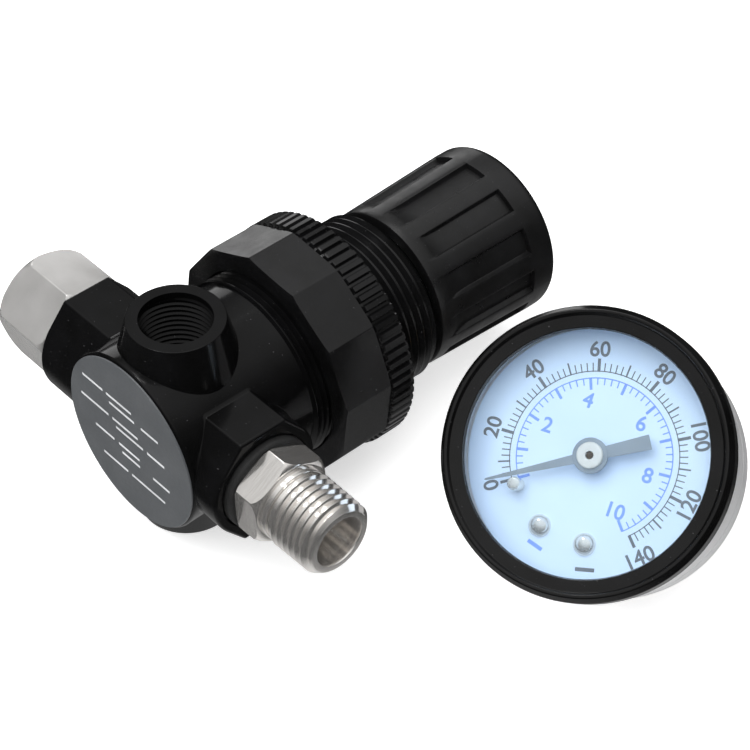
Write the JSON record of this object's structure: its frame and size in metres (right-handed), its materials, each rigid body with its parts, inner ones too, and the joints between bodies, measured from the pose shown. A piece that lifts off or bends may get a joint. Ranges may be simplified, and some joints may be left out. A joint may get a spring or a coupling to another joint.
{
  "type": "air pressure regulator",
  "caption": "Miniature in-line compressed-air pressure regulator with a fluted knob, a threaded panel neck, swivel inlet nut, threaded outlet nipple, and a loose round dial gauge.",
  "frame": {"origin": "centre of the flat end face, on the knob's axis", "axes": "+Y runs from the end face towards the knob, +X along the air line towards the outlet, +Z out of the open gauge port"},
  "size_m": [0.1147, 0.0796, 0.046],
  "materials": {
    "black_body": "gloss black coating on die-cast metal",
    "black_bonnet": "gloss moulded black",
    "black_ring": "gloss moulded black",
    "knob_plastic": "satin moulded black",
    "label_grey": "satin dark grey foil with plain pale dashes",
    "nickel_plate": "bright nickel plate",
    "plug_steel": "turned steel",
    "bright_steel": "polished steel",
    "spring_steel": "drawn wire",
    "brass": "turned brass",
    "plate_aluminium": "machined",
    "black_rubber": "matt",
    "case_silver": "satin silver",
    "bezel_plastic": "gloss black",
    "lens_clear": "clear",
    "dial_face": "satin pale blue-white with a printed scale",
    "pointer_grey": "satin dark grey",
    "hub_cream": "satin cream"
  },
  "bodies": {
    "regulator": {"body": "black_body", "label_plate": "label_grey", "valve_seat": "brass", "seat_o_ring": "black_rubber", "valve_spring": "spring_steel", "diaphragm": "black_rubber", "main_spring": "spring_steel", "bonnet": "black_bonnet", "outlet_nipple": "nickel_plate", "nipple_seal": "black_rubber", "inlet_stem": "nickel_plate", "swivel_seal": "black_rubber", "port_plug": "plug_steel"},
    "knob": {"knob": "knob_plastic", "adjusting_screw": "plug_steel", "knob_screw": "plug_steel", "knob_cap": "knob_plastic"},
    "spring_nut": {"spring_nut": "brass"},
    "valve": {"diaphragm_plate": "plate_aluminium", "valve_poppet": "brass", "poppet_seal": "black_rubber"},
    "panel_nut": {"panel_nut": "black_ring"},
    "swivel_nut": {"swivel_nut": "nickel_plate"},
    "gauge": {"gauge_case": "case_silver", "gauge_bezel": "bezel_plastic", "gauge_lens": "lens_clear", "lens_gasket": "black_rubber", "gauge_dial": "dial_face", "stop_pin": "bright_steel", "dial_screws": "bright_steel", "gauge_socket": "brass", "bourdon_tube": "brass", "movement_plates": "brass", "hairspring": "spring_steel"},
    "sector": {"sector_gear": "brass"},
    "tip_link": {"tip_link": "bright_steel"},
    "pointer": {"gauge_pointer": "pointer_grey", "pointer_hub": "hub_cream", "pinion_arbor": "bright_steel"}
  },
  "joints": [
    {"name": "knob_turn", "type": "hinge", "parent": "regulator", "child": "knob", "pos_m": [0, 0.066, 0], "axis": [0, -1, 0], "range_deg": [0, 1800]},
    {"name": "spring_nut_travel", "type": "slide", "parent": "regulator", "child": "spring_nut", "axis": [0, -1, 0], "range_m": [0, 0.005], "deforming": ["main_spring"]},
    {"name": "valve_lift", "type": "slide", "parent": "regulator", "child": "valve", "axis": [0, -1, 0], "range_m": [0, 0.0012], "stiffness_N_per_m": 500, "springref_m": -0.002, "deforming": ["valve_spring", "diaphragm"]},
    {"name": "panel_nut_turn", "type": "hinge", "parent": "regulator", "child": "panel_nut", "pos_m": [0, 0.0395, 0], "axis": [0, -1, 0], "continuous": true},
    {"name": "swivel_nut_turn", "type": "hinge", "parent": "regulator", "child": "swivel_nut", "pos_m": [-0.031, 0.0105, 0], "axis": [-1, 0, 0], "continuous": true},
    {"name": "gauge_pull_away", "type": "slide", "parent": "regulator", "child": "gauge", "axis": [1, 0, 0], "range_m": [0, 0.06]},
    {"name": "sector_swing", "type": "hinge", "parent": "gauge", "child": "sector", "pos_m": [0.05598, 0.0432, -0.00349], "axis": [0.2515, -0.6256, 0.7385], "range_deg": [0, 37.4]},
    {"name": "link_swing", "type": "hinge", "parent": "sector", "child": "tip_link", "pos_m": [0.057, 0.04065, -0.00641], "axis": [0.2515, -0.6256, 0.7385], "range_deg": [-38, 0]},
    {"name": "pointer_turn", "type": "hinge", "parent": "gauge", "child": "pointer", "pos_m": [0.05409, 0.04791, 0.0052], "axis": [-0.2515, 0.6256, -0.7385], "range_deg": [0, 262]}
  ],
  "couplings": [
    {"joint": "spring_nut_travel", "follows": "knob_turn", "m_per_rad": 0.00015915},
    {"joint": "pointer_turn", "follows": "sector_swing", "ratio": 7},
    {"joint": "link_swing", "follows": "sector_swing", "ratio": -1}
  ]
}
